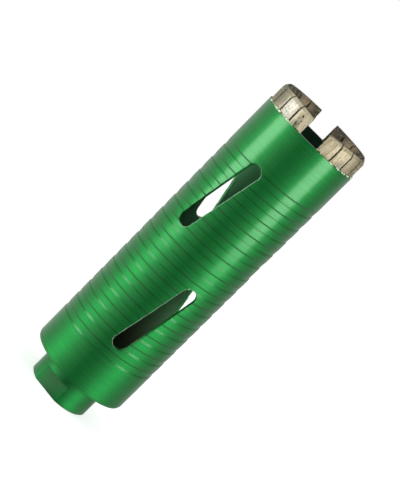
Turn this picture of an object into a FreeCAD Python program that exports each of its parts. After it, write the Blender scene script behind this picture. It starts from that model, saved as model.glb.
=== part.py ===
# Dry diamond core bit: a slotted steel barrel with a spiral chip groove, a threaded hub
# welded into its foot, and toothed cutting segments brazed round its rim.
# Frame: origin at the centre of the hub's end face, +Z along the axis to the cutting rim.
# A turn is an angle about +Z, counted from the front (-Y) towards +X. Millimetres, degrees.
import FreeCAD, Part
import os
import Sketcher

doc = FreeCAD.newDocument("core_bit")

# Driving dimensions
DIMENSIONS = {
    # Barrel: a steel tube, its foot edge broken in two equal steps that follow a round of this radius
    "barrel_diameter": 51.0,
    "barrel_wall": 2.0,
    "barrel_length": 151.3,
    "barrel_foot_radius": 1.5,
    # Chip groove: one right-hand spiral, steep on the hub side, easing out on the rim side
    "spiral_pitch": 8.0,
    "spiral_foot_distance": 15.6,
    "spiral_rim_distance": 19.5,
    "spiral_start_turn": 180.0,
    "groove_width": 4.2,
    "groove_depth": 0.3,
    "groove_wall_run": 0.5,
    # Dust slots: two rows, leaning with the spiral, placed by their middles from the foot or the rim
    "slot_width": 7.6,
    "slot_length": 43.6,
    "slot_lean": 11.3,
    "slots_per_row": 3,
    "upper_slot_rim_distance": 44.0,
    "upper_slot_turn": -25.3,
    "lower_slot_foot_distance": 47.5,
    "lower_slot_turn": 17.9,
    # Hub: a turned boss with two wrench flats, on a base disc that closes the barrel
    "hub_diameter": 32.0,
    "hub_projection": 14.5,
    "hub_edge_break": 0.5,
    "wrench_flat_depth": 2.0,
    "wrench_flat_length": 9.1,
    "wrench_flat_turn": -19.8,
    "base_thickness": 8.0,
    "base_fit_clearance": 0.05,
    "thread_diameter": 20.955,
    "thread_mouth_chamfer": 0.8,
    # Cutting segments: curved blocks with a ridged top, their middles proud of the barrel and their
    # curve tighter than the barrel's by a difference in radius
    "segment_count": 4,
    "segment_stand_out": 0.5,
    "segment_curve_closing": 3.3,
    "segment_length": 30.0,
    "segment_thickness": 3.0,
    "segment_height": 9.6,
    "segment_ridge_rise": 1.9,
    "teeth_per_segment": 4,
    "tooth_groove_width": 1.1,
    "tooth_groove_floor": 0.6,
    "tooth_groove_depth": 0.8,
    # How far every cut runs past the faces that it opens
    "cutter_overrun": 0.6,
}
sheet = doc.addObject("Spreadsheet::Sheet", "Sizes")
for row, (alias, number) in enumerate(DIMENSIONS.items(), start=1):
    sheet.set(f"A{row}", alias)
    sheet.set(f"B{row}", str(number))
    sheet.setAlias(f"B{row}", alias)
doc.recompute()


def value(expression):
    """A number worked out from the sheet's sizes, for a sketch's first drawing."""
    return float(sheet.evalExpression(expression.replace("Sizes.", "")))


def new_body(label, lift="0", turn="0"):
    """A body that stands at a height on the axis, turned about it."""
    body = doc.addObject("PartDesign::Body", label)
    body.Label = label
    body.Placement = FreeCAD.Placement(
        FreeCAD.Vector(0, 0, value(lift)), FreeCAD.Rotation(FreeCAD.Vector(0, 0, 1), value(turn))
    )
    body.setExpression("Placement.Base.z", lift)
    body.setExpression("Placement.Rotation.Angle", turn)
    return body


def new_sketch(body, name, role, axis=(0, 0, 1), turn="0", shift="0"):
    """A sketch on one of the body's own planes, shifted along its x and turned about an axis."""
    plane = next(item for item in body.Origin.OriginFeatures if item.Role == role)
    sketch = body.newObject("Sketcher::SketchObject", name)
    sketch.AttachmentSupport = (plane, [""])
    sketch.MapMode = "FlatFace"
    sketch.AttachmentOffset = FreeCAD.Placement(
        FreeCAD.Vector(value(shift), 0, 0), FreeCAD.Rotation(FreeCAD.Vector(*axis), value(turn))
    )
    if turn != "0":
        sketch.setExpression("AttachmentOffset.Rotation.Angle", turn)
    if shift != "0":
        sketch.setExpression("AttachmentOffset.Base.x", shift)
    return sketch


def bind(sketch, kind, *where, size):
    """A sketch dimension that follows an expression on the sheet."""
    index = sketch.addConstraint(Sketcher.Constraint(kind, *where, value(size)))
    sketch.setExpression(f"Constraints[{index}]", size)


def outline(sketch, corners):
    """A closed outline of straight sides, each corner set by two expressions."""
    points = [FreeCAD.Vector(value(x), value(y), 0) for x, y in corners]
    sides = [
        sketch.addGeometry(Part.LineSegment(start, end))
        for start, end in zip(points, points[1:] + points[:1])
    ]
    for side, following in zip(sides, sides[1:] + sides[:1]):
        sketch.addConstraint(Sketcher.Constraint("Coincident", side, 2, following, 1))
    for side, (x, y) in zip(sides, corners):
        bind(sketch, "DistanceX", -1, 1, side, 1, size=x)
        bind(sketch, "DistanceY", -1, 1, side, 1, size=y)


def cut(body, sketch, name, depth, upwards=True):
    """A pocket from the sketch's plane along its normal, checked to remove material."""
    before = body.Tip.Shape.Volume
    pocket = body.newObject("PartDesign::Pocket", name)
    pocket.Profile = sketch
    pocket.Reversed = upwards
    pocket.setExpression("Length", depth)
    doc.recompute()
    if pocket.Shape.isNull() or pocket.Shape.Volume >= before:
        raise RuntimeError(f"{name} cuts nothing")
    return pocket


def repeat(body, feature, name, axis, angle, count):
    """Copies of a feature spread round an axis."""
    pattern = body.newObject("PartDesign::PolarPattern", name)
    pattern.Originals = [feature]
    pattern.Axis = axis
    pattern.setExpression("Angle", angle)
    pattern.setExpression("Occurrences", count)
    body.Tip = pattern
    doc.recompute()
    return pattern


def turn_section(body, sketch, name):
    """A ring turned once round the body's axis from half of its section."""
    turned = body.newObject("PartDesign::Revolution", name)
    turned.Profile = sketch
    turned.ReferenceAxis = (sketch, ["V_Axis"])
    turned.Angle = 360
    doc.recompute()


# Barrel
def build_barrel():
    body = new_body("barrel", lift="Sizes.hub_projection")
    surface = "Sizes.barrel_diameter / 2"
    bore = f"{surface} - Sizes.barrel_wall"
    step = "Sizes.barrel_foot_radius * (1 - sqrt(0.5))"
    wall = new_sketch(body, "barrel_wall_section", "XZ_Plane")
    outline(wall, [
        (bore, "0"),
        (f"{surface} - Sizes.barrel_foot_radius", "0"),
        (f"{surface} - {step}", step),
        (surface, "Sizes.barrel_foot_radius"),
        (surface, "Sizes.barrel_length"),
        (bore, "Sizes.barrel_length"),
    ])
    turn_section(body, wall, "barrel_tube")

    add_slot_row(body, "upper", height="Sizes.barrel_length - Sizes.upper_slot_rim_distance")
    add_slot_row(body, "lower", height="Sizes.lower_slot_foot_distance")
    slotted_volume = body.Tip.Shape.Volume

    groove = new_sketch(
        body, "chip_groove_section", "XZ_Plane", axis=(0, 1, 0), turn="Sizes.spiral_start_turn - 90"
    )
    low = "Sizes.spiral_foot_distance"
    outline(groove, [
        (surface, low),
        (f"{surface} - Sizes.groove_depth", f"{low} + Sizes.groove_wall_run"),
        (surface, f"{low} + Sizes.groove_width"),
        (f"{surface} + Sizes.cutter_overrun", f"{low} + Sizes.groove_width"),
        (f"{surface} + Sizes.cutter_overrun", low),
    ])
    spiral = body.newObject("PartDesign::SubtractiveHelix", "chip_groove")
    spiral.Profile = groove
    spiral.ReferenceAxis = (groove, ["V_Axis"])
    spiral.Mode = "pitch-height-angle"
    spiral.setExpression("Pitch", "Sizes.spiral_pitch")
    spiral.setExpression(
        "Height", f"Sizes.barrel_length - Sizes.spiral_rim_distance - Sizes.groove_width - {low}"
    )
    body.Tip = spiral
    doc.recompute()
    if spiral.Shape.isNull() or spiral.Shape.Volume >= slotted_volume:
        raise RuntimeError("the chip groove cuts nothing")
    return body


def add_slot_row(body, row, height):
    """One leaning slot with round ends, cut from the axis outwards and repeated round the barrel."""
    sketch = new_sketch(
        body, f"{row}_slot_outline", "XZ_Plane", axis=(0, 1, 0), turn=f"Sizes.{row}_slot_turn"
    )
    half_run = "(Sizes.slot_length - Sizes.slot_width) / 2"
    radius = "Sizes.slot_width / 2"
    ends = []
    for sign in ("+", "-"):
        x = f"{sign}{half_run} * sin(Sizes.slot_lean * 1 deg)"
        y = f"{height} {sign} {half_run} * cos(Sizes.slot_lean * 1 deg)"
        ends.append((x, y))
    along = FreeCAD.Vector(value(ends[0][0]) - value(ends[1][0]), value(ends[0][1]) - value(ends[1][1]), 0)
    along.normalize()
    across = FreeCAD.Vector(along.y, -along.x, 0) * value(radius)
    top, foot = [FreeCAD.Vector(value(x), value(y), 0) for x, y in ends]
    reach = value(radius)
    right = sketch.addGeometry(Part.LineSegment(foot + across, top + across))
    crown = sketch.addGeometry(Part.Arc(top + across, top + along * reach, top - across))
    left = sketch.addGeometry(Part.LineSegment(top - across, foot - across))
    heel = sketch.addGeometry(Part.Arc(foot - across, foot - along * reach, foot + across))
    sketch.addConstraint(Sketcher.Constraint("Tangent", right, 2, crown, 1))
    sketch.addConstraint(Sketcher.Constraint("Tangent", crown, 2, left, 1))
    sketch.addConstraint(Sketcher.Constraint("Tangent", left, 2, heel, 1))
    sketch.addConstraint(Sketcher.Constraint("Tangent", heel, 2, right, 1))
    for arc, (x, y) in ((crown, ends[0]), (heel, ends[1])):
        bind(sketch, "DistanceX", -1, 1, arc, 3, size=x)
        bind(sketch, "DistanceY", -1, 1, arc, 3, size=y)
    bind(sketch, "Radius", crown, size=radius)
    pocket = cut(body, sketch, f"{row}_slot", "Sizes.barrel_diameter / 2 + Sizes.cutter_overrun")
    repeat(body, pocket, f"{row}_slot_row", axis=(sketch, ["V_Axis"]), angle="360", count="Sizes.slots_per_row")


# Hub
def build_hub():
    body = new_body("threaded_hub")
    section = new_sketch(body, "hub_section", "XZ_Plane")
    thread = "Sizes.thread_diameter / 2"
    mouth = "Sizes.thread_mouth_chamfer"
    hub = "Sizes.hub_diameter / 2"
    base = "Sizes.barrel_diameter / 2 - Sizes.barrel_wall - Sizes.base_fit_clearance"
    top = "Sizes.hub_projection + Sizes.base_thickness"
    outline(section, [
        (f"{thread} + {mouth}", "0"),
        (f"{hub} - Sizes.hub_edge_break", "0"),
        (hub, "Sizes.hub_edge_break"),
        (hub, "Sizes.hub_projection"),
        (base, "Sizes.hub_projection"),
        (base, top),
        (f"{thread} + {mouth}", top),
        (thread, f"{top} - {mouth}"),
        (thread, mouth),
    ])
    turn_section(body, section, "turned_hub")

    flats = new_sketch(body, "wrench_flats", "XY_Plane", turn="Sizes.wrench_flat_turn - 90")
    near = f"{hub} - Sizes.wrench_flat_depth"
    far = f"{hub} + Sizes.cutter_overrun"
    for sign in ("", "-"):
        outline(flats, [
            (f"{sign}({near})", f"-({far})"),
            (f"{sign}({far})", f"-({far})"),
            (f"{sign}({far})", far),
            (f"{sign}({near})", far),
        ])
    cut(body, flats, "wrench_flat_pair", "Sizes.wrench_flat_length")
    return body


# Cutting segments
def build_segment(number):
    step = "360 / Sizes.segment_count"
    body = new_body(
        f"cutting_segment_{number}",
        lift="Sizes.hub_projection + Sizes.barrel_length",
        turn=f"({number} - 0.5) * {step}",
    )
    crest = "(Sizes.barrel_diameter / 2 + Sizes.segment_stand_out)"
    face = "(Sizes.barrel_diameter / 2 - Sizes.segment_curve_closing)"
    centre = "(Sizes.segment_stand_out + Sizes.segment_curve_closing)"
    inside = f"{crest} - Sizes.segment_thickness"
    shoulder = "Sizes.segment_height - Sizes.segment_ridge_rise"
    section = new_sketch(body, f"segment_section_{number}", "XZ_Plane")
    outline(section, [
        (inside, "0"),
        (crest, "0"),
        (crest, shoulder),
        (f"{crest} - Sizes.segment_thickness / 2", "Sizes.segment_height"),
        (inside, shoulder),
    ])
    reach = FreeCAD.Vector(0, value("Sizes.segment_height"), 0)
    foot = FreeCAD.Vector(value(centre), 0, 0)
    axis = sketch_axis(section, foot, foot + reach)
    bind(section, "DistanceX", -1, 1, axis, 1, size=centre)
    block = body.newObject("PartDesign::Revolution", f"segment_block_{number}")
    block.Profile = section
    block.ReferenceAxis = (section, ["Axis0"])
    block.Midplane = True
    arc = f"(Sizes.segment_length / {face} * 180 / pi)"
    block.setExpression("Angle", arc)
    doc.recompute()

    tooth = f"({arc} / Sizes.teeth_per_segment)"
    grooves = new_sketch(
        body, f"tooth_grooves_{number}", "XY_Plane",
        turn=f"-{tooth} * (Sizes.teeth_per_segment / 2 - 1)", shift=centre,
    )
    back = f"{face} - Sizes.segment_thickness"
    half_mouth = "Sizes.tooth_groove_width / 2"
    half_floor = "Sizes.tooth_groove_floor / 2"
    for mouth_x, floor_x in (
        (f"{face} + Sizes.cutter_overrun", f"{face} - Sizes.tooth_groove_depth"),
        (f"{back} - Sizes.cutter_overrun", f"{back} + Sizes.tooth_groove_depth"),
    ):
        outline(grooves, [
            (mouth_x, f"-{half_mouth}"),
            (mouth_x, half_mouth),
            (floor_x, half_floor),
            (floor_x, f"-{half_floor}"),
        ])
    pocket = cut(body, grooves, f"tooth_groove_{number}", "Sizes.segment_height + Sizes.cutter_overrun")
    repeat(
        body, pocket, f"tooth_groove_row_{number}", axis=(grooves, ["N_Axis"]),
        angle=f"{tooth} * (Sizes.teeth_per_segment - 2)", count="Sizes.teeth_per_segment - 1",
    )
    return body


def sketch_axis(sketch, start, end):
    """An upright construction line from the sketch's x axis, to turn a section about."""
    axis = sketch.addGeometry(Part.LineSegment(start, end), True)
    sketch.addConstraint(Sketcher.Constraint("Vertical", axis))
    sketch.addConstraint(Sketcher.Constraint("PointOnObject", axis, 1, -1))
    bind(sketch, "DistanceY", axis, 1, axis, 2, size="Sizes.segment_height")
    return axis


sub_parts = [build_barrel(), build_hub()]
for segment_number in range(1, int(value("Sizes.segment_count")) + 1):
    sub_parts.append(build_segment(segment_number))
doc.recompute()

# Every object is up to date and every sub-part is a whole solid before anything is written
for item in doc.Objects:
    if {"Invalid", "Error"} & set(item.State):
        raise RuntimeError(f"{item.Label} failed: {item.State}")
for part in sub_parts:
    if part.Shape.isNull() or not part.Shape.isValid() or len(part.Shape.Solids) != 1:
        raise RuntimeError(f"{part.Label} is not one valid solid")

os.makedirs("parts", exist_ok=True)
for part in sub_parts:
    part.Shape.exportStep(f"parts/{part.Label}.step")
    print(part.Label, round(part.Shape.Volume, 1), "cubic mm")
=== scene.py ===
import math

import bpy
from mathutils import Matrix, Vector


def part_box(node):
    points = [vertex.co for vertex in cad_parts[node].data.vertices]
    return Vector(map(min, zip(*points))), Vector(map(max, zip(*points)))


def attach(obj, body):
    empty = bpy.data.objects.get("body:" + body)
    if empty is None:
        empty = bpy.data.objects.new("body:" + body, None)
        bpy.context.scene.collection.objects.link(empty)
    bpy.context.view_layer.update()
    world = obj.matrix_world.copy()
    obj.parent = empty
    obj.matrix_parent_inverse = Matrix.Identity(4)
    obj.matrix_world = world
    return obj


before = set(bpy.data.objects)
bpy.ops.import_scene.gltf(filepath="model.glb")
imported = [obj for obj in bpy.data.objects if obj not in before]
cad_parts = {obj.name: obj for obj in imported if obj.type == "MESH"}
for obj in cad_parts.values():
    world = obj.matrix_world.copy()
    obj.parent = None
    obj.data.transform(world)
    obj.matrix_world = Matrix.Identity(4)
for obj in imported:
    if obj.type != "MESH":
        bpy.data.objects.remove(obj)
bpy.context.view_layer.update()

MM = 0.001
scene = bpy.context.scene

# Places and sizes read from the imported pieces
barrel_low, barrel_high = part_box("barrel")
BARREL_RADIUS = barrel_high.x
FOOT_HEIGHT = barrel_low.z
RIM_HEIGHT = barrel_high.z
SEGMENT_NODES = [f"cutting_segment_{number}" for number in (1, 2, 3, 4)]

# The barrel's wall and its spiral groove, the hub's flats and its thread, as they are in the solids
BARREL_WALL = 2.0 * MM
GROOVE_PITCH = 8.0 * MM
GROOVE_WIDTH = 4.2 * MM
GROOVE_DEPTH = 0.3 * MM
GROOVE_WALL = 0.5 * MM
GROOVE_FOOT = FOOT_HEIGHT + 15.6 * MM
GROOVE_TURNS = 14
HUB_RADIUS = 16.0 * MM
FLAT_DEPTH = 2.0 * MM
THREAD_RADIUS = 10.4775 * MM
THREAD_PITCH = 1.814 * MM
THREAD_DEPTH = 1.162 * MM

# The segments: each curves about its own centre, which lies off the barrel's axis
SEGMENT_STAND_OUT = 0.5 * MM
SEGMENT_CURVE_RADIUS = BARREL_RADIUS - 3.3 * MM
SEGMENT_CENTRE = BARREL_RADIUS + SEGMENT_STAND_OUT - SEGMENT_CURVE_RADIUS
SEGMENT_LENGTH = 30.0 * MM
SEGMENT_THICKNESS = 3.0 * MM

# Where the photograph was taken from, fitted to the outlines in it: angles in degrees, the lens and
# the sensor in the camera's own millimetres
CAMERA_TURN = -0.85
CAMERA_DISTANCE = 717.8 * MM
CAMERA_HEIGHT = 239.4 * MM
CAMERA_DIP = 11.453
CAMERA_YAW = 0.034
CAMERA_ROLL = 45.017
CAMERA_LENS = 116.83
SENSOR_HEIGHT = 36.0


def linear(hex_colour):
    """The linear colour, with alpha 1, of an sRGB hex value."""
    shares = [int(hex_colour[place:place + 2], 16) / 255 for place in (1, 3, 5)]
    return [s / 12.92 if s <= 0.04045 else ((s + 0.055) / 1.055) ** 2.4 for s in shares] + [1.0]


def add_node(tree, kind, inputs=(), **settings):
    """One node with its settings. An input, called by name or number, takes a value, an output, or a
    node for its first output. A Map Range's inputs are its value, the two ends of the span that the
    value is in, and the two numbers that these ends turn into."""
    node = tree.nodes.new(kind)
    for name, setting in settings.items():
        setattr(node, name, setting)
    for name, source in dict(inputs).items():
        if isinstance(source, bpy.types.Node):
            source = source.outputs[0]
        if isinstance(source, bpy.types.NodeSocket):
            tree.links.new(source, node.inputs[name])
        else:
            node.inputs[name].default_value = source
    return node


def new_material(name):
    """An empty node material, and its tree."""
    material = bpy.data.materials.new(name)
    material.use_nodes = True
    material.node_tree.nodes.clear()
    return material, material.node_tree


def lay_over(tree, base, layers):
    """A base colour with each layer's colour laid over it, as far as the layer's share says."""
    colour = linear(base)
    for share, over in layers:
        mixed = add_node(tree, "ShaderNodeMix", {0: share, 6: colour, 7: linear(over)}, data_type="RGBA")
        colour = mixed.outputs[2]
    return colour


def object_place(tree):
    """The point on the piece, its coordinates and its distance from the axis."""
    place = add_node(tree, "ShaderNodeTexCoord").outputs["Object"]
    axes = add_node(tree, "ShaderNodeSeparateXYZ", {0: place}).outputs
    flat = add_node(tree, "ShaderNodeVectorMath", {0: place, 1: (1, 1, 0)}, operation="MULTIPLY")
    radius = add_node(tree, "ShaderNodeVectorMath", {0: flat}, operation="LENGTH")
    return place, axes, radius.outputs["Value"]


def turn_round(tree, axes):
    """The turn of a point about the axis, from the front."""
    back = add_node(tree, "ShaderNodeMath", {0: axes["Y"], 1: -1.0}, operation="MULTIPLY")
    return add_node(tree, "ShaderNodeMath", {0: axes["X"], 1: back}, operation="ARCTAN2")


def groove_way(tree, axes):
    """How far a point on the barrel is above the chip groove's lower edge, along the axis, and whether
    the groove runs there. The groove starts at the back, half a turn before the front, and each turn of
    it is counted from a little below its lower edge."""
    margin = GROOVE_PITCH / 4
    start = GROOVE_FOOT + GROOVE_PITCH / 2 - margin
    climb = {0: turn_round(tree, axes), 1: GROOVE_PITCH / (2 * math.pi), 2: start}
    wound = add_node(tree, "ShaderNodeMath", climb, operation="MULTIPLY_ADD")
    above = add_node(tree, "ShaderNodeMath", {0: axes["Z"], 1: wound}, operation="SUBTRACT")
    folded = add_node(tree, "ShaderNodeMath", {0: above, 1: GROOVE_PITCH}, operation="FLOORED_MODULO")
    way = add_node(tree, "ShaderNodeMath", {0: folded, 1: margin}, operation="SUBTRACT")
    half = GROOVE_TURNS * GROOVE_PITCH / 2
    return way, add_node(tree, "ShaderNodeMath", {0: above, 1: half, 2: half}, operation="COMPARE")


# Metallic green lacquer over a turned steel tube: flake under a clear coat, so its lights are soft and
# green with a whiter glare over them, and the lathe's fine rings still show as streaks round the barrel.
# The rings are drawn coarser than real ones, so that they show
LACQUER_GREEN = "#17B44E"
LACQUER_DARK = "#149F44"
TURNING_SPACING = 0.6 * MM
TURNING_LENGTH = 16.0 * MM
TURNING_RELIEF = 0.0036 * MM
TURNING_DARKEST = 0.25
TURNING_GREENEST = 0.75
# Painted shade gives each groove two thin dark lines, along its two sides: the middle of each side above
# the lower edge, and the line's share
LACQUER_GROOVE_SHADE = "#148238"
GROOVE_SHADE_WIDTH = 0.25 * MM
GROOVE_SHADE_SHARES = ((GROOVE_WALL / 2, 0.4), (GROOVE_WIDTH - GROOVE_WALL / 2, 0.85))
# A painted greyish sheen lies on the hub's milled flats
LACQUER_FLAT_SHEEN = "#4C7052"
FLAT_SHEEN_SHARE = 0.55
# Inside, painted light and shade by height: from the hub up a brownish grey, a green of painted light, a
# dark green of painted shade, a brighter green of painted light from the open mouth, and painted shade by
# the rim
INSIDE_FADE = 0.3 * MM
INSIDE_BROWN = "#737864"
BROWN_FROM = RIM_HEIGHT - 132.0 * MM
BROWN_TO = RIM_HEIGHT - 108.0 * MM
INSIDE_PAINTED_LIGHT_LOW = "#76B380"
LOW_LIGHT_FROM = RIM_HEIGHT - 90.0 * MM
LOW_LIGHT_TO = RIM_HEIGHT - 80.0 * MM
INSIDE_PAINTED_SHADE = "#457954"
INSIDE_PAINTED_LIGHT_HIGH = "#8BE0A4"
MOUTH_LIGHT_FROM = RIM_HEIGHT - 62.0 * MM
MOUTH_LIGHT_TO = RIM_HEIGHT - 28.0 * MM
INSIDE_RIM_SHADE = "#345541"
RIM_SHADE_FROM = RIM_HEIGHT - 22.0 * MM
RIM_SHADE_TO = RIM_HEIGHT - 10.0 * MM
# A painted highlight lies along one long side of each slot and its ends, in a pale lacquer colour: the side
# that faces back round the axis in the upper row, and the other one in the lower row. An edge shows by
# how far its rounded normal leaves the true one, and a side by how far it faces round the axis
LACQUER_EDGE_HIGHLIGHT = "#A8CEAC"
HIGHLIGHT_WIDTH = 1.1 * MM
EDGES_END = RIM_HEIGHT - 3.0 * MM
ROWS_PART = RIM_HEIGHT - 74.0 * MM
LIKENESS_ON_EDGE = 0.8
LIKENESS_OFF_EDGE = 0.9
FACING_HIGHLIT = 0.1
FACING_PLAIN = 0.35
# Away from the rim, the edges catch the light as if they were rounded
EDGE_ROUNDING = 0.6 * MM
ROUNDING_FADE = 1.0 * MM
# The tube's sawn end, between the segments, is rough and painted dark, as shade
SAWN_FACE = RIM_HEIGHT - 0.05 * MM
SAWN_GRAIN = 0.5 * MM
SAWN_RELIEF = 0.12 * MM
# Painted shade darkens the corners, which are known by how little of the air near them is open
LACQUER_PAINTED_SHADE = "#14301C"
LACQUER_SHADE_SHARE = 0.8
CORNER_REACH = 1.2 * MM
CORNER_SHUT = 0.5
CORNER_OPEN = 0.8


def slot_edge_highlight(tree, place, axes):
    """The share of painted highlight: 1 along the slots' square edges, apart from the long side that each
    row keeps plain.
    """
    rounded = add_node(tree, "ShaderNodeBevel", {"Radius": HIGHLIGHT_WIDTH}, samples=8)
    plain = add_node(tree, "ShaderNodeNewGeometry").outputs["Normal"]
    likeness = add_node(tree, "ShaderNodeVectorMath", {0: rounded, 1: plain}, operation="DOT_PRODUCT")
    bend = {0: likeness.outputs["Value"], 1: LIKENESS_ON_EDGE, 2: LIKENESS_OFF_EDGE, 3: 1.0, 4: 0.0}
    square = add_node(tree, "ShaderNodeMapRange", bend)
    onward = add_node(tree, "ShaderNodeVectorMath", {0: (0, 0, 1), 1: place}, operation="CROSS_PRODUCT")
    unit = add_node(tree, "ShaderNodeVectorMath", {0: onward}, operation="NORMALIZE")
    facing = add_node(tree, "ShaderNodeVectorMath", {0: rounded, 1: unit}, operation="DOT_PRODUCT")
    upper = add_node(tree, "ShaderNodeMath", {0: axes["Z"], 1: ROWS_PART}, operation="GREATER_THAN")
    way = add_node(tree, "ShaderNodeMath", {0: upper, 1: 2.0, 2: -1.0}, operation="MULTIPLY_ADD")
    kept = add_node(tree, "ShaderNodeMath", {0: facing.outputs["Value"], 1: way}, operation="MULTIPLY")
    sides = {0: kept, 1: FACING_HIGHLIT, 2: FACING_PLAIN, 3: 1.0, 4: 0.0}
    turned = add_node(tree, "ShaderNodeMapRange", sides)
    below = add_node(tree, "ShaderNodeMath", {0: axes["Z"], 1: EDGES_END}, operation="LESS_THAN")
    # worn is the share of the painted highlight
    worn = add_node(tree, "ShaderNodeMath", {0: square, 1: turned}, operation="MULTIPLY")
    return add_node(tree, "ShaderNodeMath", {0: worn, 1: below}, operation="MULTIPLY")


def shade_in_corners(tree, most):
    """How much painted shade darkens a place: up to a share in corners, 0 on open faces."""
    air = add_node(tree, "ShaderNodeAmbientOcclusion", {"Distance": CORNER_REACH}, samples=6)
    return add_node(
        tree, "ShaderNodeMapRange", {0: air.outputs["AO"], 1: CORNER_SHUT, 2: CORNER_OPEN, 3: most, 4: 0.0}
    )


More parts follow.
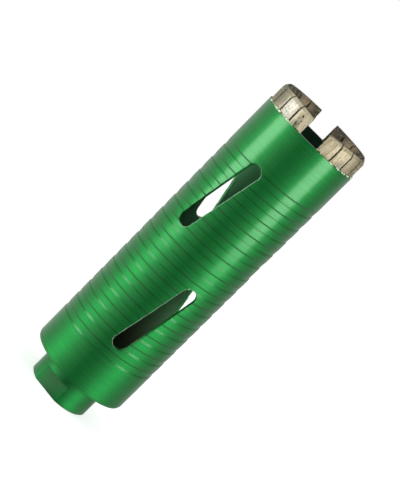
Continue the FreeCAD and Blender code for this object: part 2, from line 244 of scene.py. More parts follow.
def green_lacquer(name, bare_radius, grooved):
    """Lacquer on a turned piece, with painted light and shade inside, on what is no further from the axis
    than a radius. The grooved piece is the barrel, with painted shade in its grooves, a painted highlight
    along its slots' edges and its sawn end painted dark, and the other one is the hub, with a painted sheen
    on its flats."""
    material, tree = new_material(name)
    place, axes, radius = object_place(tree)
    stretch = (1 / TURNING_LENGTH, 1 / TURNING_LENGTH, 1 / TURNING_SPACING)
    streaked = add_node(tree, "ShaderNodeVectorMath", {0: place, 1: stretch}, operation="MULTIPLY")
    rings = add_node(tree, "ShaderNodeTexNoise", {"Vector": streaked, "Scale": 1.0, "Detail": 3.0})
    share = add_node(tree, "ShaderNodeMapRange", {0: rings, 1: TURNING_DARKEST, 2: TURNING_GREENEST})
    height = add_node(tree, "ShaderNodeMath", {0: rings, 1: TURNING_RELIEF}, operation="MULTIPLY")
    layers = [(share, LACQUER_GREEN)]
    if grooved:
        way, wound = groove_way(tree, axes)
        outside = {0: radius, 1: BARREL_RADIUS - BARREL_WALL / 2}
        outer = add_node(tree, "ShaderNodeMath", outside, operation="GREATER_THAN")
        runs = add_node(tree, "ShaderNodeMath", {0: wound, 1: outer}, operation="MULTIPLY")
        # Painted shade: two thin dark lines along the two sides of each groove
        groove_shade = 0.0
        for middle, most in GROOVE_SHADE_SHARES:
            off = add_node(tree, "ShaderNodeMath", {0: way, 1: middle}, operation="SUBTRACT")
            away = add_node(tree, "ShaderNodeMath", {0: off}, operation="ABSOLUTE")
            reach = {0: away, 1: GROOVE_WALL / 2, 2: GROOVE_WALL / 2 + GROOVE_SHADE_WIDTH, 3: most, 4: 0.0}
            line = add_node(tree, "ShaderNodeMapRange", reach)
            groove_shade = add_node(tree, "ShaderNodeMath", {0: line, 1: groove_shade}, operation="ADD")
        groove_shade = add_node(tree, "ShaderNodeMath", {0: groove_shade, 1: runs}, operation="MULTIPLY")
        layers.append((groove_shade, LACQUER_GROOVE_SHADE))
    else:
        # The wrench flats lie nearer to the axis than the round of the hub, and take a painted sheen
        cut = {0: radius, 1: HUB_RADIUS - FLAT_DEPTH, 2: HUB_RADIUS, 3: FLAT_SHEEN_SHARE, 4: 0.0}
        flat_sheen = add_node(tree, "ShaderNodeMapRange", cut)
        layers.append((flat_sheen, LACQUER_FLAT_SHEEN))
    inside = add_node(tree, "ShaderNodeMapRange", {0: radius, 1: bare_radius + INSIDE_FADE, 2: bare_radius})
    # Painted shade inside, and over it bands of painted light and shade by height
    layers.append((inside, INSIDE_PAINTED_SHADE))
    for low, high, at_low, at_high, colour in (
        (LOW_LIGHT_FROM, LOW_LIGHT_TO, 1.0, 0.0, INSIDE_PAINTED_LIGHT_LOW),
        (BROWN_FROM, BROWN_TO, 1.0, 0.0, INSIDE_BROWN),
        (MOUTH_LIGHT_FROM, MOUTH_LIGHT_TO, 0.0, 1.0, INSIDE_PAINTED_LIGHT_HIGH),
        (RIM_SHADE_FROM, RIM_SHADE_TO, 0.0, 1.0, INSIDE_RIM_SHADE),
    ):
        rise = {0: axes["Z"], 1: low, 2: high, 3: at_low, 4: at_high}
        band = add_node(tree, "ShaderNodeMapRange", rise)
        inside_band = add_node(tree, "ShaderNodeMath", {0: inside, 1: band}, operation="MULTIPLY")
        layers.append((inside_band, colour))
    # Painted shade in the corners
    layers.append((shade_in_corners(tree, LACQUER_SHADE_SHARE), LACQUER_PAINTED_SHADE))
    if grooved:
        # A painted highlight along the slots' edges, in a pale lacquer colour
        layers.append((slot_edge_highlight(tree, place, axes), LACQUER_EDGE_HIGHLIGHT))
        # The sawn end is painted dark, as shade
        sawn = add_node(tree, "ShaderNodeMath", {0: axes["Z"], 1: SAWN_FACE}, operation="GREATER_THAN")
        layers.append((sawn, LACQUER_PAINTED_SHADE))
        grain = add_node(tree, "ShaderNodeTexNoise", {"Vector": place, "Scale": 1 / SAWN_GRAIN})
        rough = add_node(tree, "ShaderNodeMath", {0: grain, 1: sawn}, operation="MULTIPLY")
        torn = {0: rough, 1: SAWN_RELIEF, 2: height}
        height = add_node(tree, "ShaderNodeMath", torn, operation="MULTIPLY_ADD")
        # The groove's floor is level and its rim side steep, over the solid's long slope
        corner = GROOVE_WIDTH - GROOVE_WALL
        fall = GROOVE_DEPTH * (1 - GROOVE_WALL / corner)
        floor = add_node(tree, "ShaderNodeMapRange", {0: way, 1: GROOVE_WALL, 2: corner, 3: 0.0, 4: -fall})
        side = add_node(tree, "ShaderNodeMapRange", {0: way, 1: corner, 2: GROOVE_WIDTH, 3: 0.0, 4: fall})
        levelled = add_node(tree, "ShaderNodeMath", {0: floor, 1: side}, operation="ADD")
        turned = {0: levelled, 1: runs, 2: height}
        height = add_node(tree, "ShaderNodeMath", turned, operation="MULTIPLY_ADD")
    relief = add_node(tree, "ShaderNodeBump", {"Height": height, "Strength": 1.0, "Distance": 1.0})
    near_rim = {0: axes["Z"], 1: EDGES_END, 2: EDGES_END + ROUNDING_FADE, 3: EDGE_ROUNDING, 4: 0.0}
    rounding = add_node(tree, "ShaderNodeMapRange", near_rim)
    rounded = add_node(tree, "ShaderNodeBevel", {"Radius": rounding, "Normal": relief}, samples=6)
    surface = add_node(tree, "ShaderNodeBsdfPrincipled", {
        "Base Color": lay_over(tree, LACQUER_DARK, layers),
        "Metallic": 0.88,
        "Roughness": 0.58,
        "Anisotropic": 0.68,
        "Anisotropic Rotation": 0.25,
        "Coat Weight": 1.0,
        "Coat Roughness": 0.2,
        "Normal": rounded,
        "Coat Normal": rounded,
        "Tangent": add_node(tree, "ShaderNodeTangent", direction_type="RADIAL", axis="Z"),
    })
    add_node(tree, "ShaderNodeOutputMaterial", {"Surface": surface})
    return material


# Sintered bronze and cobalt bond: metal powder pressed in a mould, matt, with pores, draw marks along
# the press's stroke, pits where grit fell out, and a rough dark scar on one segment. The outer faces are
# ground to a pale champagne, with painted shade towards the object's two sides, and the inner ones are
# brown, partly painted shade
BOND_PALE = "#F8F0D4"
BOND_DARK = "#C0AE80"
GRAIN_SIZE = 1.1 * MM
GRAIN_RELIEF = 0.06 * MM
BOND_ROUNDING = 0.4 * MM
# The draw marks are stronger on the segments to the right
BOND_STREAK = "#A48C62"
DRAW_SPACING = 0.5 * MM
DRAW_LENGTH = 7.0 * MM
DRAW_FROM = 0.48
DRAW_TO = 0.64
DRAW_CHANGE = 4.0 * MM
DRAW_SHARE_LEFT = 0.3
DRAW_SHARE_RIGHT = 0.85
# The outer faces take painted shade towards the object's two sides. The inner faces are a dark brown,
# partly painted shade, and are told from the outer ones, which are ground, by their distance from the axis
BOND_DULL_SHADE = "#7B7563"
SIDE_SHADE_FROM = 18.6 * MM
SIDE_SHADE_TO = 22.6 * MM
SIDE_SHADE_SHARE = 0.9
BOND_INNER_SHADE_BROWN = "#4F4740"
RAW_RADIUS = BARREL_RADIUS - 1.2 * MM
GROUND_RADIUS = BARREL_RADIUS - 0.7 * MM
# A spot is a turn in degrees, a height above the rim and a reach, and is whole up to a share of it. The
# bond has a painted highlight at one spot, is darker at three, one of them as painted shade, and on its
# inner faces is tanned in patches and takes painted light at two
SPOT_CORE = 0.5
BOND_PAINTED_HIGHLIGHT = "#F2EFDE"
HIGHLIGHT_SPOT = (-37.5, 4.2 * MM, 5.8 * MM)
DARKENED_SPOTS = ((42.0, 1.0 * MM, 4.0 * MM), (-21.5, 1.0 * MM, 2.4 * MM), (-54.0, 5.0 * MM, 4.6 * MM))
BOND_TAN_AND_LIGHT = "#A69273"
PAINTED_LIGHT_SPOTS = ((-146.0, 4.5 * MM, 9.0 * MM), (135.5, 4.5 * MM, 8.0 * MM))
TAN_PATCH = 5.0 * MM
TAN_FROM = 0.4
TAN_TO = 0.65
TAN_SHARE = 0.35
# The pits gather at three spots and are few elsewhere, and the scar is at one. The sizes of a pit and of
# a shred of the scar are shares of their spacing
BOND_PIT = "#1E1A14"
PIT_SPACING = 0.9 * MM
PIT_DEPTH = 0.2 * MM
PITTED = ((-39.0, 3.4 * MM, 4.2 * MM), (-60.0, 4.0 * MM, 2.4 * MM), (27.0, 3.0 * MM, 2.0 * MM))
PITS_ELSEWHERE = 0.1
PIT_CORE = 0.2
PIT_EDGE = 0.26
SCAR = (-20.6, 3.8 * MM, 5.0 * MM)
SCAR_SQUEEZE = 3.2
SHRED_CORE = 0.38
SHRED_EDGE = 0.48
SCAR_BETWEEN_SHREDS = 0.3
# Painted shade fills the corners, and runs on as dark lines from the three grooves between a segment's
# teeth over its ridge: the grooves' step and how far from the segment's middle they are looked for, and the
# lines' half width, its soft edge as a multiple of that, and where they start
BOND_PAINTED_SHADE = "#4E4734"
BOND_SHADE_SHARE = 1.0
TOOTH_TURN = math.radians(16.56)
GROOVES_WITHIN = 1.5 * TOOTH_TURN
GROOVE_SHADE_TURN = math.radians(0.6)
GROOVE_SHADE_FADE = 1.6
GROOVE_SHADE_START = RIM_HEIGHT + 7.9 * MM


def near_spot(tree, place, spot, squeeze=1.0):
    """1 at a spot on the segments' ring, falling to 0 at its reach, squeezed round the ring."""
    turn, rise, reach = spot
    angle = math.radians(turn)
    radius = BARREL_RADIUS + SEGMENT_STAND_OUT / 2
    centre = (radius * math.sin(angle), -radius * math.cos(angle), RIM_HEIGHT + rise)
    away = add_node(tree, "ShaderNodeVectorMath", {0: place, 1: centre}, operation="SUBTRACT")
    turned = add_node(
        tree, "ShaderNodeVectorRotate", {"Vector": away, "Angle": -angle}, rotation_type="Z_AXIS"
    )
    pressed = add_node(tree, "ShaderNodeVectorMath", {0: turned, 1: (squeeze, 1, 1)}, operation="MULTIPLY")
    far = add_node(tree, "ShaderNodeVectorMath", {0: pressed}, operation="LENGTH")
    fade = {0: far.outputs["Value"], 1: reach * SPOT_CORE, 2: reach, 3: 1.0, 4: 0.0}
    return add_node(tree, "ShaderNodeMapRange", fade)


def near_spots(tree, place, spots, elsewhere):
    """1 at several spots, and another share away from them."""
    share = elsewhere
    for spot in spots:
        around = near_spot(tree, place, spot)
        share = add_node(tree, "ShaderNodeMath", {0: around, 1: share}, operation="MAXIMUM")
    return share


def groove_shade_lines(tree, axes):
    """1 where painted shade runs on from the teeth's grooves over the segments' ridge. The four segments
    stand at the middles of the quarter turns."""
    quarter = {0: turn_round(tree, axes), 1: math.pi / 2}
    folded = add_node(tree, "ShaderNodeMath", quarter, operation="FLOORED_MODULO")
    from_middle = add_node(tree, "ShaderNodeMath", {0: folded, 1: math.pi / 4}, operation="SUBTRACT")
    wave = add_node(tree, "ShaderNodeMath", {0: from_middle, 1: TOOTH_TURN / 2}, operation="PINGPONG")
    gap = {0: wave, 1: GROOVE_SHADE_TURN, 2: GROOVE_SHADE_FADE * GROOVE_SHADE_TURN, 3: 1.0, 4: 0.0}
    lines = add_node(tree, "ShaderNodeMapRange", gap)
    within = {0: from_middle, 1: 0.0, 2: GROOVES_WITHIN}
    inner = add_node(tree, "ShaderNodeMath", within, operation="COMPARE")
    high = add_node(tree, "ShaderNodeMath", {0: axes["Z"], 1: GROOVE_SHADE_START}, operation="GREATER_THAN")
    middle = add_node(tree, "ShaderNodeMath", {0: lines, 1: inner}, operation="MULTIPLY")
    return add_node(tree, "ShaderNodeMath", {0: middle, 1: high}, operation="MULTIPLY")


def metal_bond():
    """The segments' bond, with its marks, tan, painted light and shade, and pits."""
    material, tree = new_material("sintered_metal_bond")
    place, axes, radius = object_place(tree)
    grain = add_node(tree, "ShaderNodeTexNoise", {"Vector": place, "Scale": 1 / GRAIN_SIZE, "Detail": 4.0})
    stretch = (1 / DRAW_SPACING, 1 / DRAW_SPACING, 1 / DRAW_LENGTH)
    drawn = add_node(tree, "ShaderNodeVectorMath", {0: place, 1: stretch}, operation="MULTIPLY")
    marks = add_node(tree, "ShaderNodeTexNoise", {"Vector": drawn, "Scale": 1.0, "Detail": 2.0})
    marked = add_node(tree, "ShaderNodeMapRange", {0: marks, 1: DRAW_FROM, 2: DRAW_TO})
    sides = {0: axes["X"], 1: 0.0, 2: DRAW_CHANGE, 3: DRAW_SHARE_LEFT, 4: DRAW_SHARE_RIGHT}
    side = add_node(tree, "ShaderNodeMapRange", sides)
    streaks = add_node(tree, "ShaderNodeMath", {0: marked, 1: side}, operation="MULTIPLY")
    # Painted shade towards the object's two sides
    across = add_node(tree, "ShaderNodeMath", {0: axes["X"]}, operation="ABSOLUTE")
    outward = {0: across, 1: SIDE_SHADE_FROM, 2: SIDE_SHADE_TO, 3: 0.0, 4: SIDE_SHADE_SHARE}
    side_shade = add_node(tree, "ShaderNodeMapRange", outward)
    # The inner faces are painted dark brown, partly as shade
    inward = {0: radius, 1: RAW_RADIUS, 2: GROUND_RADIUS, 3: 1.0, 4: 0.0}
    inner_face = add_node(tree, "ShaderNodeMapRange", inward)
    # Tan in patches, and painted light at two spots on the inner faces
    heat = add_node(tree, "ShaderNodeTexNoise", {"Vector": place, "Scale": 1 / TAN_PATCH, "Detail": 2.0})
    patched = {0: heat, 1: TAN_FROM, 2: TAN_TO, 3: 0.0, 4: TAN_SHARE}
    tan_and_light = near_spots(tree, place, PAINTED_LIGHT_SPOTS, add_node(tree, "ShaderNodeMapRange", patched))
    tan_and_light_inside = add_node(tree, "ShaderNodeMath", {0: tan_and_light, 1: inner_face}, operation="MULTIPLY")
    # Darker at three spots, one of them painted shade over a lamp's highlight
    darkening = near_spots(tree, place, DARKENED_SPOTS, 0.0)
    darkened_marks = add_node(tree, "ShaderNodeMath", {0: darkening, 1: marks}, operation="MULTIPLY")
    cells = add_node(tree, "ShaderNodeTexVoronoi", {"Vector": place, "Scale": 1 / PIT_SPACING})
    from_pit = cells.outputs["Distance"]
    holes = add_node(tree, "ShaderNodeMapRange", {0: from_pit, 1: PIT_CORE, 2: PIT_EDGE, 3: 1.0, 4: 0.0})
    gathered = near_spots(tree, place, PITTED, PITS_ELSEWHERE)
    sparse = add_node(tree, "ShaderNodeMath", {0: holes, 1: gathered}, operation="MULTIPLY")
    torn = {0: from_pit, 1: SHRED_CORE, 2: SHRED_EDGE, 3: 1.0, 4: SCAR_BETWEEN_SHREDS}
    shreds = add_node(tree, "ShaderNodeMapRange", torn)
    scar = near_spot(tree, place, SCAR, squeeze=SCAR_SQUEEZE)
    ripped = add_node(tree, "ShaderNodeMath", {0: scar, 1: shreds}, operation="MULTIPLY")
    pits = add_node(tree, "ShaderNodeMath", {0: sparse, 1: ripped}, operation="MAXIMUM")
    colour = lay_over(tree, BOND_DARK, (
        (grain, BOND_PALE),
        # A painted highlight at one spot
        (near_spot(tree, place, HIGHLIGHT_SPOT), BOND_PAINTED_HIGHLIGHT),
        (side_shade, BOND_DULL_SHADE),
        (streaks, BOND_STREAK),
        (darkened_marks, BOND_DULL_SHADE),
        (inner_face, BOND_INNER_SHADE_BROWN),
        (tan_and_light_inside, BOND_TAN_AND_LIGHT),
        # Painted shade in the corners
        (shade_in_corners(tree, BOND_SHADE_SHARE), BOND_PAINTED_SHADE),
        # Painted shade lines that run on from the teeth's grooves
        (groove_shade_lines(tree, axes), BOND_PAINTED_SHADE),
        (pits, BOND_PIT),
    ))
    sunk = add_node(tree, "ShaderNodeMath", {0: pits, 1: -PIT_DEPTH}, operation="MULTIPLY")
    rough = {0: grain, 1: GRAIN_RELIEF, 2: sunk}
    height = add_node(tree, "ShaderNodeMath", rough, operation="MULTIPLY_ADD")
    relief = add_node(tree, "ShaderNodeBump", {"Height": height, "Strength": 1.0, "Distance": 1.0})
    surface = add_node(tree, "ShaderNodeBsdfPrincipled", {
        "Base Color": colour,
        "Metallic": 0.3,
        "Roughness": 0.5,
        "Normal": add_node(tree, "ShaderNodeBevel", {"Radius": BOND_ROUNDING, "Normal": relief}, samples=4),
    })
    add_node(tree, "ShaderNodeOutputMaterial", {"Surface": surface})
    return material


# Brass brazing alloy, run and frozen: bright yellow-white beads with a greenish skin of flux in patches
BRAZE_BRIGHT = "#ECFFDC"
BRAZE_FLUX = "#34502C"
FLUX_PATCH = 2 * GRAIN_SIZE
FLUX_WHOLE = 0.42
FLUX_GONE = 0.56


def brazing_alloy():
    """The beads' alloy and its skin of flux."""
    material, tree = new_material("brazing_alloy")
    place = add_node(tree, "ShaderNodeTexCoord").outputs["Object"]
    skin = add_node(tree, "ShaderNodeTexNoise", {"Vector": place, "Scale": 1 / FLUX_PATCH, "Detail": 3.0})
    bright = add_node(tree, "ShaderNodeMapRange", {0: skin, 1: FLUX_WHOLE, 2: FLUX_GONE})
    surface = add_node(tree, "ShaderNodeBsdfPrincipled", {
        "Base Color": lay_over(tree, BRAZE_FLUX, [(bright, BRAZE_BRIGHT)]),
        "Metallic": 0.3,
        "Roughness": 0.32,
    })
    add_node(tree, "ShaderNodeOutputMaterial", {"Surface": surface})
    return material


# Synthetic diamond grit: small pale yellow-green crystals, glassy, half sunk in the bond
DIAMOND_PALE = "#D8DCA8"


def diamond_grit():
    """The crystals' own hard gloss."""
    material, tree = new_material("diamond_grit")
    surface = add_node(tree, "ShaderNodeBsdfPrincipled", {
        "Base Color": linear(DIAMOND_PALE),
        "Metallic": 0.0,
        "Roughness": 0.12,
        "IOR": 2.1,
    })
    add_node(tree, "ShaderNodeOutputMaterial", {"Surface": surface})
    return material


# Bare cut steel: grey and fairly bright, with smears of dark oil
STEEL_BARE = "#A9ABAC"
STEEL_OILY = "#5E6062"
OIL_SMEAR = 2.0 * MM


def cut_steel():
    """The steel of the thread that is cut in the hub."""
    material, tree = new_material("cut_steel")
    place = add_node(tree, "ShaderNodeTexCoord").outputs["Object"]
    smear = add_node(tree, "ShaderNodeTexNoise", {"Vector": place, "Scale": 1 / OIL_SMEAR, "Detail": 3.0})
    surface = add_node(tree, "ShaderNodeBsdfPrincipled", {
        "Base Color": lay_over(tree, STEEL_OILY, [(smear, STEEL_BARE)]),
        "Metallic": 1.0,
        "Roughness": 0.35,
    })
    add_node(tree, "ShaderNodeOutputMaterial", {"Surface": surface})
    return material


# The room, as the metal's reflections see it: white behind the object and a little to the left, grey in
# front of it, with a glow at both sides. A direction's sideways, forward and upward parts are cosines
BACKDROP_SIDE = (-0.25, 0.97, 0.0)
BACKDROP_START = 0.1
BACKDROP_END = 1.0
BACKDROP_WHITE = 0.38
FRONT_GREY = 0.095
# The glow starts a little off the middle and is whole well to a side. It is weaker on the right, and
# stronger in front, next to the soft boxes, than behind
GLOW_FROM = 0.1
GLOW_TO = 0.6
RIGHT_SHARE = 0.65
BEHIND_SHARE = 0.75
FRONT_SHARE = 1.5
GLOW_CHANGE = 0.5
WALL_GLOW = 0.06
TABLE_GLOW = 0.28
WHITE = "#FFFFFF"


def backdrop_white(tree, direction, side_glow):
    """How white the metal sees the room in a direction: the backdrop, and a glow at both sides that
    reaches a given strength on the left."""
    unit = add_node(tree, "ShaderNodeVectorMath", {0: direction}, operation="NORMALIZE")
    behind = add_node(tree, "ShaderNodeVectorMath", {0: unit, 1: BACKDROP_SIDE}, operation="DOT_PRODUCT")
    lit = {0: behind.outputs["Value"], 1: BACKDROP_START, 2: BACKDROP_END, 3: FRONT_GREY, 4: BACKDROP_WHITE}
    white = add_node(tree, "ShaderNodeMapRange", lit)
    parts = add_node(tree, "ShaderNodeSeparateXYZ", {0: unit}).outputs
    forward = {0: parts["Y"], 1: GLOW_CHANGE, 2: -GLOW_CHANGE, 3: BEHIND_SHARE, 4: FRONT_SHARE}
    near_box = add_node(tree, "ShaderNodeMapRange", forward)
    over = {0: parts["X"], 1: -GLOW_FROM, 2: GLOW_FROM, 3: side_glow, 4: side_glow * RIGHT_SHARE}
    most = add_node(tree, "ShaderNodeMapRange", over)
    aside = add_node(tree, "ShaderNodeMath", {0: parts["X"]}, operation="ABSOLUTE")
    glow = add_node(tree, "ShaderNodeMapRange", {0: aside, 1: GLOW_FROM, 2: GLOW_TO, 3: 0.0, 4: most})
    return add_node(tree, "ShaderNodeMath", {0: glow, 1: near_box, 2: white}, operation="MULTIPLY_ADD")


def seen_by(tree, light, mirrors, camera):
    """One shader for plain light, one for the metal's reflections and one for the camera."""
    rays = add_node(tree, "ShaderNodeLightPath").outputs
    lit = add_node(tree, "ShaderNodeMixShader", {0: rays["Is Glossy Ray"], 1: light, 2: mirrors})
    return add_node(tree, "ShaderNodeMixShader", {0: rays["Is Camera Ray"], 1: lit, 2: camera})


# White laminate on the table, evenly lit: the camera sees it white, and it keeps the object's shadow
LAMINATE = "#F2F2F0"
LAMINATE_LIFT = 0.61


def white_laminate():
    """The table's laminate, lifted to white for the camera and part of the room to the reflections."""
    material, tree = new_material("white_laminate")
    place = add_node(tree, "ShaderNodeTexCoord").outputs["Object"]
    board = add_node(tree, "ShaderNodeBsdfDiffuse", {"Color": linear(LAMINATE)})
    lift = add_node(tree, "ShaderNodeEmission", {"Color": linear(WHITE), "Strength": LAMINATE_LIFT})
    lifted = add_node(tree, "ShaderNodeAddShader", {0: board, 1: lift})
    room = backdrop_white(tree, place, TABLE_GLOW)
    mirrored = add_node(tree, "ShaderNodeEmission", {"Color": linear(WHITE), "Strength": room})
    surface = seen_by(tree, board, mirrored, lifted)
    add_node(tree, "ShaderNodeOutputMaterial", {"Surface": surface})
    return material


def dress(node, material):
    """The material on a CAD piece, in place of what it came with."""
    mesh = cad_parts[node].data
    mesh.materials.clear()
    mesh.materials.append(material)


# A segment's triangles are joined and its flat faces made whole before its sharp edges, in degrees,
# are worn round
WORN_EDGE = 0.3 * MM
WORN_STEPS = 2
JOINED_WITHIN = 0.002 * MM
FLAT_WITHIN = 0.5
SHARP_FROM = 35.0


def wear_edges(node):
    """Rounds a segment's sharp edges a little, as use and tumbling do."""
    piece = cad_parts[node]
    joined = piece.modifiers.new("joined", "WELD")
    joined.merge_threshold = JOINED_WITHIN
    flat = piece.modifiers.new("flat", "DECIMATE")
    flat.decimate_type = "DISSOLVE"
    flat.angle_limit = math.radians(FLAT_WITHIN)
    worn = piece.modifiers.new("worn", "BEVEL")
    worn.width = WORN_EDGE
    worn.segments = WORN_STEPS
    worn.limit_method = "ANGLE"
    worn.angle_limit = math.radians(SHARP_FROM)
    worn.harden_normals = False


# Pieces that follow a rule are grown by Geometry Nodes and kept as plain meshes
def new_tree(name, sizes):
    """A geometry tree with a mesh input and one number input for each named size."""
    tree = bpy.data.node_groups.new(name, "GeometryNodeTree")
    tree.interface.new_socket("Mesh", in_out="INPUT", socket_type="NodeSocketGeometry")
    for size in sizes:
        tree.interface.new_socket(size, in_out="INPUT", socket_type="NodeSocketFloat")
    tree.interface.new_socket("Mesh", in_out="OUTPUT", socket_type="NodeSocketGeometry")
    return tree, add_node(tree, "NodeGroupInput").outputs


def close_tree(tree, geometry, material):
    """Ends a tree: real faces, in one material."""
    real = add_node(tree, "GeometryNodeRealizeInstances", {"Geometry": geometry})
    painted = add_node(tree, "GeometryNodeSetMaterial", {"Geometry": real, "Material": material})
    add_node(tree, "NodeGroupOutput", {"Mesh": painted})


def grow(name, tree, sizes, start_mesh):
    """A piece that rides on the body, grown by a tree from a start mesh."""
    seed = bpy.data.objects.new(name + "_start", start_mesh)
    scene.collection.objects.link(seed)
    modifier = seed.modifiers.new(name, "NODES")
    modifier.node_group = tree
    for socket in tree.interface.items_tree:
        if socket.in_out == "INPUT" and socket.name in sizes:
            modifier[socket.identifier] = sizes[socket.name]
    evaluated = seed.evaluated_get(bpy.context.evaluated_depsgraph_get())
    mesh = bpy.data.meshes.new_from_object(evaluated)
    mesh.name = name
    seed.modifiers.clear()
    bpy.data.objects.remove(seed)
    piece = bpy.data.objects.new(name, mesh)
    scene.collection.objects.link(piece)
    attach(piece, "root")


# The ridge starts just inside the hub's end, and is narrow at its crest
THREAD_TURNS = 10.5
THREAD_START = 1.8 * MM
THREAD_CREST = 0.25 * MM
THREAD_STEPS = 48


def add_thread(material):
    """The hub's female thread: one right-hand ridge that winds up the bore."""
    sizes = {"Radius": THREAD_RADIUS, "Pitch": THREAD_PITCH, "Turns": THREAD_TURNS, "Depth": THREAD_DEPTH}
    tree, given = new_tree("thread_ridge", sizes)
    rise = add_node(tree, "ShaderNodeMath", {0: given["Pitch"], 1: given["Turns"]}, operation="MULTIPLY")
    spiral = add_node(tree, "GeometryNodeCurveSpiral", {
        "Resolution": THREAD_STEPS,
        "Rotations": given["Turns"],
        "Start Radius": given["Radius"],
        "End Radius": given["Radius"],
        "Height": rise,
        "Reverse": True,
    })
    upright = add_node(tree, "GeometryNodeSetCurveNormal", {"Curve": spiral}, mode="Z_UP")
    section = add_node(tree, "GeometryNodeCurvePrimitiveQuadrilateral", {
        "Bottom Width": given["Pitch"],
        "Top Width": THREAD_CREST,
        "Height": given["Depth"],
        "Offset": 0.0,
    }, mode="TRAPEZOID")
    facing = add_node(tree, "GeometryNodeTransform", {
        "Geometry": section,
        "Translation": (-THREAD_DEPTH / 2, 0, 0),
        "Rotation": (0, 0, math.pi / 2),
    })
    ridge = add_node(
        tree, "GeometryNodeCurveToMesh", {"Curve": upright, "Profile Curve": facing, "Fill Caps": True}
    )
    lifted = add_node(
        tree, "GeometryNodeTransform", {"Geometry": ridge, "Translation": (0, 0, THREAD_START)}
    )
    close_tree(tree, lifted, material)
    grow("thread_ridge", tree, sizes, bpy.data.meshes.new("thread_start"))


# The crystals differ in size, between two shares of one radius, and are turned by up to a whole turn, in
# radians, about each axis. None is on a segment's foot or its highest ridge
GRIT_RADIUS = 0.32 * MM
GRIT_PER_SQUARE_METRE = 0.9e6
GRIT_SMALLEST = 0.35
GRIT_LARGEST = 0.6
GRIT_MOST_TURN = (6.283, 6.283, 6.283)
GRIT_OFF_FOOT = 0.4 * MM
GRIT_OFF_RIDGE = 0.3 * MM


def add_grit(number, node, material):
    """Diamond crystals that stand out of a segment's bond."""
    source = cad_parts[node].data
    low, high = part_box(node)
    sizes = {"Crystal": GRIT_RADIUS, "Density": GRIT_PER_SQUARE_METRE}
    tree, given = new_tree(f"grit_{number}", sizes)
    place = add_node(tree, "GeometryNodeInputPosition")
    height = add_node(tree, "ShaderNodeSeparateXYZ", {0: place}).outputs["Z"]
    scattered = add_node(tree, "GeometryNodeDistributePointsOnFaces", {
        "Mesh": given["Mesh"],
        "Density": given["Density"],
        "Seed": number,
    })
    foot = {"A": height, "B": low.z + GRIT_OFF_FOOT}
    near_foot = add_node(tree, "FunctionNodeCompare", foot, operation="LESS_THAN")
    ridge = {"A": height, "B": high.z - GRIT_OFF_RIDGE}
    near_ridge = add_node(tree, "FunctionNodeCompare", ridge, operation="GREATER_THAN")
    bare = add_node(tree, "FunctionNodeBooleanMath", {0: near_foot, 1: near_ridge}, operation="OR")
    kept = add_node(
        tree, "GeometryNodeDeleteGeometry", {"Geometry": scattered.outputs["Points"], "Selection": bare}
    )
    crystal = add_node(tree, "GeometryNodeMeshIcoSphere", {"Radius": given["Crystal"], "Subdivisions": 1})
    every_way = {0: (0, 0, 0), 1: GRIT_MOST_TURN}
    turned = add_node(tree, "FunctionNodeRandomValue", every_way, data_type="FLOAT_VECTOR")
    scaled = add_node(tree, "FunctionNodeRandomValue", {2: GRIT_SMALLEST, 3: GRIT_LARGEST})
    placed = add_node(tree, "GeometryNodeInstanceOnPoints", {
        "Points": kept,
        "Instance": crystal,
        "Rotation": turned,
        "Scale": scaled.outputs[1],
    })
    close_tree(tree, placed, material)
    grow(f"diamond_grit_{number}", tree, sizes, source.copy())


# The bead swells and thins between a least share and its full thickness, in lumps of a known size
BRAZE_THICKNESS = 0.6 * MM
BRAZE_STEPS = 48
BRAZE_POINTS = 160
BEAD_SIDES = 8
LUMP_SIZE = 2.5 * MM
THIN_BELOW = 0.5
FULL_ABOVE = 0.62
THINNEST = 0.2


def add_braze(number, material):
    """The bead of brazing alloy that frames a segment's foot, thick and thin along its way."""
    middle = math.radians((number - 0.5) * 90.0)
    centre = Vector((SEGMENT_CENTRE * math.cos(middle), SEGMENT_CENTRE * math.sin(middle)))
    half = SEGMENT_LENGTH / SEGMENT_CURVE_RADIUS / 2
    angles = [middle - half + 2 * half * step / BRAZE_STEPS for step in range(BRAZE_STEPS + 1)]
    outer = [(SEGMENT_CURVE_RADIUS, angle) for angle in angles]
    inner = [(SEGMENT_CURVE_RADIUS - SEGMENT_THICKNESS, angle) for angle in reversed(angles)]
    points = [
        (centre.x + radius * math.cos(angle), centre.y + radius * math.sin(angle), RIM_HEIGHT)
        for radius, angle in outer + inner
    ]
    loop = bpy.data.meshes.new(f"braze_path_{number}")
    loop.from_pydata(points, [(n, (n + 1) % len(points)) for n in range(len(points))], [])
    sizes = {"Thickness": BRAZE_THICKNESS}
    tree, given = new_tree(f"braze_{number}", sizes)
    path = add_node(tree, "GeometryNodeMeshToCurve", {"Mesh": given["Mesh"]})
    dense = add_node(tree, "GeometryNodeResampleCurve", {"Curve": path, "Count": BRAZE_POINTS})
    lumps = add_node(tree, "ShaderNodeTexNoise", {"Scale": 1 / LUMP_SIZE, "Detail": 2.0})
    swell = add_node(
        tree, "ShaderNodeMapRange", {0: lumps, 1: THIN_BELOW, 2: FULL_ABOVE, 3: THINNEST, 4: 1.0}
    )
    bead = add_node(
        tree, "GeometryNodeCurvePrimitiveCircle", {"Resolution": BEAD_SIDES, "Radius": given["Thickness"]}
    )
    swept = add_node(
        tree, "GeometryNodeCurveToMesh", {"Curve": dense, "Profile Curve": bead, "Scale": swell}
    )
    close_tree(tree, swept, material)
    grow(f"braze_bead_{number}", tree, sizes, loop)


# The table's top lies a hair under the hub's end, so that no two faces share a plane
TABLE_HEIGHT = -0.05 * MM
TABLE_REACH = 6.0


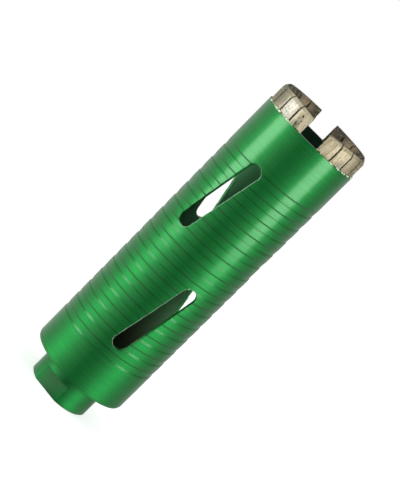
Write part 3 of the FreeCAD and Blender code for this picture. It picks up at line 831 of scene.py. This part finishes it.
def add_floor():
    """The table under the object, wide enough to fill every view."""
    mesh = bpy.data.meshes.new("floor")
    signs = ((-1, -1), (1, -1), (1, 1), (-1, 1))
    corners = [(x * TABLE_REACH, y * TABLE_REACH, TABLE_HEIGHT) for x, y in signs]
    mesh.from_pydata(corners, [], [(0, 1, 2, 3)])
    mesh.materials.append(white_laminate())
    floor = bpy.data.objects.new("floor", mesh)
    scene.collection.objects.link(floor)


# Two tall soft boxes stand on the table, one at each side and a little in front of the object
LEFT_BOX_TURN = -65.5
RIGHT_BOX_TURN = 59.5
SOFT_BOX_DISTANCE = 0.6
SOFT_BOX_WIDTH = 0.3
SOFT_BOX_HEIGHT = 0.48
SOFT_BOX_POWER = 1.75
# What the room itself gives besides them
ROOM_DAYLIGHT = "#F4F6F8"
ROOM_LIGHT = 0.5


def add_soft_box(name, turn):
    """An upright soft box on the table, facing the object's axis."""
    lamp = bpy.data.lights.new(name, "AREA")
    lamp.shape = "RECTANGLE"
    lamp.size = SOFT_BOX_WIDTH
    lamp.size_y = SOFT_BOX_HEIGHT
    lamp.energy = SOFT_BOX_POWER
    box = bpy.data.objects.new(name, lamp)
    angle = math.radians(turn)
    height = SOFT_BOX_HEIGHT / 2
    place = Vector((SOFT_BOX_DISTANCE * math.sin(angle), -SOFT_BOX_DISTANCE * math.cos(angle), height))
    aim = Vector((0, 0, height)) - place
    box.matrix_world = Matrix.Translation(place) @ aim.to_track_quat("-Z", "Y").to_matrix().to_4x4()
    scene.collection.objects.link(box)


def add_world():
    """The room: white to the camera, soft light to the object, and the backdrop to the reflections."""
    world = bpy.data.worlds.new("studio")
    scene.world = world
    world.use_nodes = True
    tree = world.node_tree
    tree.nodes.clear()
    direction = add_node(tree, "ShaderNodeTexCoord").outputs["Generated"]
    room = backdrop_white(tree, direction, WALL_GLOW)
    white = add_node(tree, "ShaderNodeBackground", {"Color": linear(WHITE), "Strength": 1.0})
    dim = add_node(tree, "ShaderNodeBackground", {"Color": linear(ROOM_DAYLIGHT), "Strength": ROOM_LIGHT})
    mirrored = add_node(tree, "ShaderNodeBackground", {"Color": linear(WHITE), "Strength": room})
    add_node(tree, "ShaderNodeOutputWorld", {"Surface": seen_by(tree, dim, mirrored, white)})


def add_camera():
    """The camera where the photograph was taken from, with its roll."""
    settings = bpy.data.cameras.new("camera")
    settings.lens = CAMERA_LENS
    settings.sensor_fit = "VERTICAL"
    settings.sensor_height = SENSOR_HEIGHT
    settings.clip_start = 0.01
    settings.clip_end = 50.0
    camera = bpy.data.objects.new("camera", settings)
    turn = math.radians(CAMERA_TURN)
    place = Vector((CAMERA_DISTANCE * math.sin(turn), -CAMERA_DISTANCE * math.cos(turn), CAMERA_HEIGHT))
    camera.matrix_world = (
        Matrix.Translation(place)
        @ Matrix.Rotation(turn, 4, "Z")
        @ Matrix.Rotation(math.radians(90.0 - CAMERA_DIP), 4, "X")
        @ Matrix.Rotation(math.radians(-CAMERA_YAW), 4, "Y")
        @ Matrix.Rotation(math.radians(CAMERA_ROLL), 4, "Z")
    )
    scene.collection.objects.link(camera)
    scene.camera = camera


bpy.context.scene.view_settings.view_transform = "Standard"
bond = metal_bond()
dress("barrel", green_lacquer("green_lacquer_on_the_barrel", BARREL_RADIUS - BARREL_WALL, grooved=True))
dress("threaded_hub", green_lacquer("green_lacquer_on_the_hub", THREAD_RADIUS, grooved=False))
for node in SEGMENT_NODES:
    dress(node, bond)
    wear_edges(node)
add_thread(cut_steel())
grit = diamond_grit()
braze = brazing_alloy()
for number, node in enumerate(SEGMENT_NODES, start=1):
    add_grit(number, node, grit)
    add_braze(number, braze)

add_floor()
add_soft_box("left_soft_box", LEFT_BOX_TURN)
add_soft_box("right_soft_box", RIGHT_BOX_TURN)
add_world()
add_camera()
